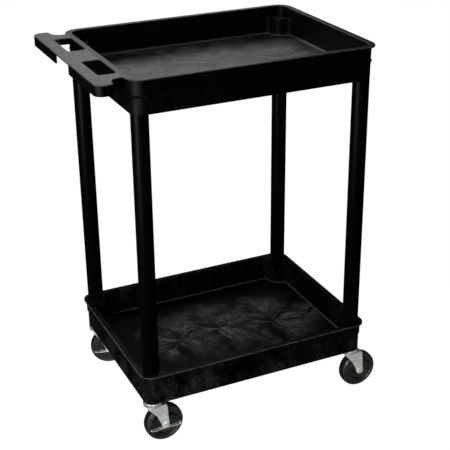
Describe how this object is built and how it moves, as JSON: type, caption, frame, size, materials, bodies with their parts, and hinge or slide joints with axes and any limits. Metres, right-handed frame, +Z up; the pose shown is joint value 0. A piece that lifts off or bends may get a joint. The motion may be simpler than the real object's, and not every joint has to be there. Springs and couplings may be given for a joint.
{
  "type": "rolling utility cart",
  "caption": "Moulded plastic utility cart with an upper and a lower tub on tube legs, a push handle and swivel casters, some of them braked.",
  "frame": {"origin": "on the floor, under the middle of the cart's bounding box", "axes": "+Z up, +X to the front, away from the push handle, +Y to the cart's left side"},
  "size_m": [0.7444, 0.479, 0.945],
  "materials": {
    "tub_plastic": "fine-grained structural foam, satin",
    "leg_plastic": "smooth satin extrusion",
    "socket_nylon": "moulded nylon",
    "zinc_plate": "zinc plated pressed steel",
    "hardened_steel": "turned and oiled",
    "bright_plate": "bright zinc plate",
    "wheel_plastic": "moulded, satin",
    "tyre_rubber": "moulded elastomer, matt"
  },
  "bodies": {
    "root": {"top_tray": "tub_plastic", "bottom_tray": "tub_plastic", "leg_rear_right": "leg_plastic", "stem_socket_rear_right": "socket_nylon", "caster_rear_right_stem": "hardened_steel", "caster_rear_right_top_race": "zinc_plate", "leg_front_right": "leg_plastic", "stem_socket_front_right": "socket_nylon", "caster_front_right_stem": "hardened_steel", "caster_front_right_top_race": "zinc_plate", "leg_rear_left": "leg_plastic", "stem_socket_rear_left": "socket_nylon", "caster_rear_left_stem": "hardened_steel", "caster_rear_left_top_race": "zinc_plate", "leg_front_left": "leg_plastic", "stem_socket_front_left": "socket_nylon", "caster_front_left_stem": "hardened_steel", "caster_front_left_top_race": "zinc_plate"},
    "fork_rear_right": {"caster_rear_right_fork": "zinc_plate", "caster_rear_right_balls": "hardened_steel", "caster_rear_right_axle_sleeve": "hardened_steel", "caster_rear_right_axle_bolt": "zinc_plate", "caster_rear_right_axle_nut": "zinc_plate"},
    "wheel_rear_right": {"caster_rear_right_wheel_core": "wheel_plastic", "caster_rear_right_tyre": "tyre_rubber"},
    "brake_rear_right": {"caster_rear_right_brake_lever": "bright_plate"},
    "fork_front_right": {"caster_front_right_fork": "zinc_plate", "caster_front_right_balls": "hardened_steel", "caster_front_right_axle_sleeve": "hardened_steel", "caster_front_right_axle_bolt": "zinc_plate", "caster_front_right_axle_nut": "zinc_plate"},
    "wheel_front_right": {"caster_front_right_wheel_core": "wheel_plastic", "caster_front_right_tyre": "tyre_rubber"},
    "fork_rear_left": {"caster_rear_left_fork": "zinc_plate", "caster_rear_left_balls": "hardened_steel", "caster_rear_left_axle_sleeve": "hardened_steel", "caster_rear_left_axle_bolt": "zinc_plate", "caster_rear_left_axle_nut": "zinc_plate"},
    "wheel_rear_left": {"caster_rear_left_wheel_core": "wheel_plastic", "caster_rear_left_tyre": "tyre_rubber"},
    "brake_rear_left": {"caster_rear_left_brake_lever": "bright_plate"},
    "fork_front_left": {"caster_front_left_fork": "zinc_plate", "caster_front_left_balls": "hardened_steel", "caster_front_left_axle_sleeve": "hardened_steel", "caster_front_left_axle_bolt": "zinc_plate", "caster_front_left_axle_nut": "zinc_plate"},
    "wheel_front_left": {"caster_front_left_wheel_core": "wheel_plastic", "caster_front_left_tyre": "tyre_rubber"}
  },
  "joints": [
    {"name": "swivel_rear_right", "type": "hinge", "parent": "root", "child": "fork_rear_right", "pos_m": [-0.26675, -0.2055, 0.105], "axis": [0, 0, 1], "continuous": true},
    {"name": "roll_rear_right", "type": "hinge", "parent": "fork_rear_right", "child": "wheel_rear_right", "pos_m": [-0.23975, -0.2055, 0.05], "axis": [0, 1, 0], "continuous": true},
    {"name": "brake_rear_right", "type": "hinge", "parent": "fork_rear_right", "child": "brake_rear_right", "pos_m": [-0.23975, -0.2055, 0.05], "axis": [0, 1, 0], "range_deg": [0, 18]},
    {"name": "swivel_front_right", "type": "hinge", "parent": "root", "child": "fork_front_right", "pos_m": [0.29525, -0.2055, 0.105], "axis": [0, 0, 1], "continuous": true},
    {"name": "roll_front_right", "type": "hinge", "parent": "fork_front_right", "child": "wheel_front_right", "pos_m": [0.32225, -0.2055, 0.05], "axis": [0, 1, 0], "continuous": true},
    {"name": "swivel_rear_left", "type": "hinge", "parent": "root", "child": "fork_rear_left", "pos_m": [-0.26675, 0.2055, 0.105], "axis": [0, 0, 1], "continuous": true},
    {"name": "roll_rear_left", "type": "hinge", "parent": "fork_rear_left", "child": "wheel_rear_left", "pos_m": [-0.2408, 0.19806, 0.05], "axis": [0.2756, 0.9613, 0], "continuous": true},
    {"name": "brake_rear_left", "type": "hinge", "parent": "fork_rear_left", "child": "brake_rear_left", "pos_m": [-0.2408, 0.19806, 0.05], "axis": [0.2756, 0.9613, 0], "range_deg": [0, 18]},
    {"name": "swivel_front_left", "type": "hinge", "parent": "root", "child": "fork_front_left", "pos_m": [0.29525, 0.2055, 0.105], "axis": [0, 0, 1], "continuous": true},
    {"name": "roll_front_left", "type": "hinge", "parent": "fork_front_left", "child": "wheel_front_left", "pos_m": [0.32225, 0.2055, 0.05], "axis": [0, 1, 0], "continuous": true}
  ]
}
